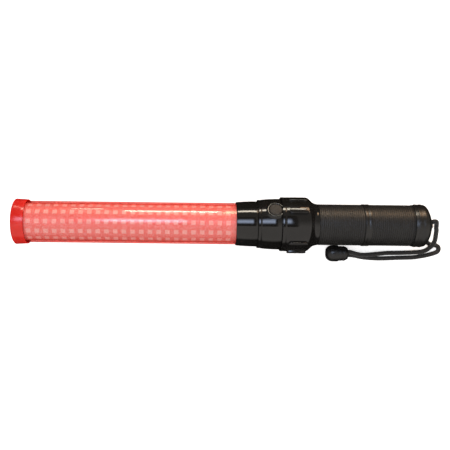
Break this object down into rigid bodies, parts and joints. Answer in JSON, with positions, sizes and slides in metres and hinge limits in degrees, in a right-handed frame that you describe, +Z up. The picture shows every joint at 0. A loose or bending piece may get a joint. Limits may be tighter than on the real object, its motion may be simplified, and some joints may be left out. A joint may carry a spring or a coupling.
{
  "type": "traffic baton light",
  "caption": "Hand-held traffic baton light: red light tube on a black battery handle with push switch, screw end cap and wrist cord with a spring cord lock.",
  "frame": {"origin": "on the table under the middle of the baton, which lies with its long axis level and its guard ring touching Z = 0; the cord and its lock are not counted", "axes": "+X along the baton from the red tip to the end cap, +Z up, -Y towards the wrist cord"},
  "size_m": [0.4346, 0.0646, 0.0559],
  "materials": {
    "red_cap": "moulded red ABS, satin gloss",
    "red_tube": "clear red polycarbonate tube, polished",
    "film": "embossed translucent reflecting film",
    "white_plastic": "moulded white ABS",
    "black_plastic": "moulded black ABS",
    "circuit_board": "glass-fibre board with solder mask",
    "lamp_body": "lamp package with clear resin top",
    "seal_rubber": "smooth black rubber",
    "gloss_black": "moulded black ABS, high gloss",
    "handle_plastic": "moulded black ABS, satin",
    "button_rubber": "matt grey silicone rubber",
    "grip_rubber": "matt black ribbed rubber",
    "lead_red": "PVC insulated wire, red",
    "lead_black": "PVC insulated wire, black",
    "cell_shell": "printed cell jacket",
    "brass_contact": "stamped brass sheet",
    "spring_steel": "bright drawn spring wire",
    "eye_steel": "nickel-plated steel",
    "cord_fabric": "braided black polyester cord",
    "lock_plastic": "moulded black nylon"
  },
  "bodies": {
    "handle": {"tip_cap": "red_cap", "light_tube": "red_tube", "prism_film": "film", "tip_board_holder": "white_plastic", "head_board_holder": "black_plastic", "lamp_board": "circuit_board", "upper_lamp_1": "lamp_body", "lower_lamp_1": "lamp_body", "upper_lamp_2": "lamp_body", "lower_lamp_2": "lamp_body", "upper_lamp_3": "lamp_body", "lower_lamp_3": "lamp_body", "upper_lamp_4": "lamp_body", "lower_lamp_4": "lamp_body", "upper_lamp_5": "lamp_body", "lower_lamp_5": "lamp_body", "upper_lamp_6": "lamp_body", "lower_lamp_6": "lamp_body", "upper_lamp_7": "lamp_body", "lower_lamp_7": "lamp_body", "upper_lamp_8": "lamp_body", "lower_lamp_8": "lamp_body", "tube_gasket": "seal_rubber", "tube_collar": "gloss_black", "switch_housing": "gloss_black", "switch_body": "black_plastic", "switch_board": "circuit_board", "lamp_lead_red": "lead_red", "lamp_lead_black": "lead_black", "cell_lead": "lead_red", "guard_ring": "gloss_black", "handle_tube": "handle_plastic", "front_grip": "grip_rubber", "rear_grip": "grip_rubber", "battery_1": "cell_shell", "battery_2": "cell_shell", "contact_holder": "white_plastic", "front_contact": "brass_contact", "cap_seal": "seal_rubber"},
    "button": {"switch_button": "button_rubber", "switch_plunger": "white_plastic"},
    "cap_carriage": {"lanyard_eye": "eye_steel", "contact_spring": "spring_steel", "rear_contact": "brass_contact", "lanyard_cord": "cord_fabric", "cord_lock_barrel": "lock_plastic"},
    "cap": {"end_cap": "handle_plastic"},
    "lock_plunger": {"cord_lock_plunger": "lock_plastic", "cord_lock_spring": "spring_steel"}
  },
  "joints": [
    {"name": "switch_press", "type": "slide", "parent": "handle", "child": "button", "axis": [0, -0.5446, -0.8387], "range_m": [0, 0.0016], "stiffness_N_per_m": 2500},
    {"name": "cap_travel", "type": "slide", "parent": "handle", "child": "cap_carriage", "axis": [1, 0, 0], "range_m": [0, 0.0075]},
    {"name": "cap_turn", "type": "hinge", "parent": "cap_carriage", "child": "cap", "pos_m": [0.195, 0, 0.02893], "axis": [1, 0, 0], "range_deg": [0, 1080]},
    {"name": "lock_press", "type": "slide", "parent": "cap_carriage", "child": "lock_plunger", "axis": [1, 0, 0], "range_m": [0, 0.0034], "stiffness_N_per_m": 900, "deforming": ["cord_lock_spring"]}
  ],
  "couplings": [
    {"joint": "cap_travel", "follows": "cap_turn", "m_per_rad": 0.00039789}
  ]
}
